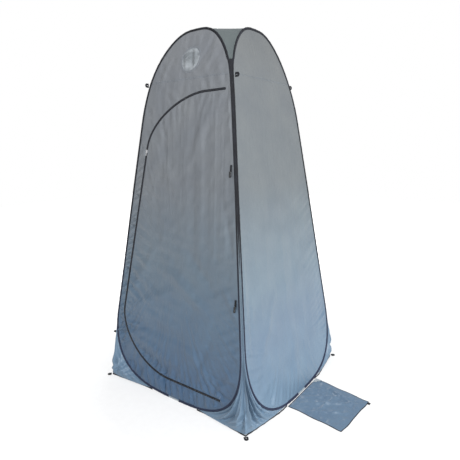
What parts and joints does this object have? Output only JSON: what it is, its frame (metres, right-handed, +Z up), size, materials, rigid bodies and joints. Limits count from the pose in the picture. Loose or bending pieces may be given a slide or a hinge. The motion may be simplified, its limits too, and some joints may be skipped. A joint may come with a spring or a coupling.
{
  "type": "pop-up changing tent",
  "caption": "Tall square pop-up changing tent: a sprung steel hoop in a sleeve round each leaning cloth wall, a zipped D door, corner skirts and a flat carry bag.",
  "frame": {"origin": "on the ground under the middle of the outline, with the carry bag laid out", "axes": "+Z up, the door wall faces -Y, the carry bag lies on the +X side"},
  "size_m": [1.3646, 1.0066, 1.8993],
  "materials": {
    "wall_fabric": "satin",
    "bag_fabric": "satin",
    "binding": "matte",
    "webbing": "matte",
    "zip_tape": "matte",
    "toggle_plastic": "satin",
    "spring_steel": "satin",
    "zip_metal": "polished",
    "clear_film": "gloss"
  },
  "bodies": {
    "tent": {"front_hoop_sleeve": "binding", "front_hoop_wire": "spring_steel", "front_hoop_ferrule": "spring_steel", "front_sleeve_patch": "wall_fabric", "right_hoop_sleeve": "binding", "right_hoop_wire": "spring_steel", "right_hoop_ferrule": "spring_steel", "right_sleeve_patch": "wall_fabric", "rear_hoop_sleeve": "binding", "rear_hoop_wire": "spring_steel", "rear_hoop_ferrule": "spring_steel", "rear_sleeve_patch": "wall_fabric", "left_hoop_sleeve": "binding", "left_hoop_wire": "spring_steel", "left_hoop_ferrule": "spring_steel", "left_sleeve_patch": "wall_fabric", "right_wall_lower": "wall_fabric", "right_wall_upper": "wall_fabric", "rear_wall_lower": "wall_fabric", "rear_wall_upper": "wall_fabric", "left_wall_lower": "wall_fabric", "left_wall_upper": "wall_fabric", "front_wall_frame": "wall_fabric", "zip_tape_frame_top": "zip_tape", "zip_tape_frame_side": "zip_tape", "zip_tape_frame_foot": "zip_tape", "front_wall_upper": "wall_fabric", "window_ring": "wall_fabric", "window_film": "clear_film", "roof": "wall_fabric", "front_right_gusset": "wall_fabric", "front_right_hem": "binding", "front_right_peg_loop": "webbing", "right_rear_gusset": "wall_fabric", "right_rear_hem": "binding", "right_rear_peg_loop": "webbing", "rear_left_gusset": "wall_fabric", "rear_left_hem": "binding", "rear_left_peg_loop": "webbing", "left_front_gusset": "wall_fabric", "left_front_hem": "binding", "left_front_peg_loop": "webbing", "front_guy_loop": "webbing", "right_guy_loop": "webbing", "rear_guy_loop": "webbing", "left_guy_loop": "webbing", "left_side_loop": "webbing"},
    "door": {"door_leaf": "wall_fabric", "zip_tape_door_side": "zip_tape"},
    "zip_slider": {"zip_slider": "zip_metal"},
    "outer_pull": {"zip_pull_outer": "zip_metal"},
    "inner_pull": {"zip_pull_inner": "zip_metal"},
    "upper_tie": {"upper_tie_strap": "webbing", "upper_tie_toggle": "toggle_plastic"},
    "lower_tie": {"lower_tie_strap": "webbing", "lower_tie_toggle": "toggle_plastic"},
    "carry_bag": {"carry_bag": "bag_fabric", "carry_bag_tab": "webbing"}
  },
  "joints": [
    {"name": "door_hinge", "type": "hinge", "parent": "tent", "child": "door", "pos_m": [0.10599, -0.38785, 0.8465], "axis": [-0.0499, 0.1288, 0.9904], "range_deg": [0, 120]},
    {"name": "slider_travel", "type": "slide", "parent": "door", "child": "zip_slider", "axis": [-0.1384, -0.1277, -0.9821], "range_m": [0, 0.86]},
    {"name": "outer_pull_hinge", "type": "hinge", "parent": "zip_slider", "child": "outer_pull", "pos_m": [-0.43327, -0.33165, 1.30451], "axis": [-0.9904, 0.0178, 0.1372], "range_deg": [0, 150]},
    {"name": "inner_pull_hinge", "type": "hinge", "parent": "zip_slider", "child": "inner_pull", "pos_m": [-0.4304, -0.32278, 1.30295], "axis": [0.9904, -0.0178, -0.1372], "range_deg": [-4, 150]},
    {"name": "upper_tie_hinge", "type": "hinge", "parent": "tent", "child": "upper_tie", "pos_m": [0.13181, -0.33711, 1.23614], "axis": [-1, 0, 0], "range_deg": [0, 100]},
    {"name": "lower_tie_hinge", "type": "hinge", "parent": "tent", "child": "lower_tie", "pos_m": [0.20707, -0.41641, 0.62614], "axis": [-1, 0, 0], "range_deg": [0, 100]},
    {"name": "carry_bag_hinge", "type": "hinge", "parent": "tent", "child": "carry_bag", "pos_m": [0.35049, 0, 0.002], "axis": [0, -1, 0], "range_deg": [0, 90]}
  ]
}
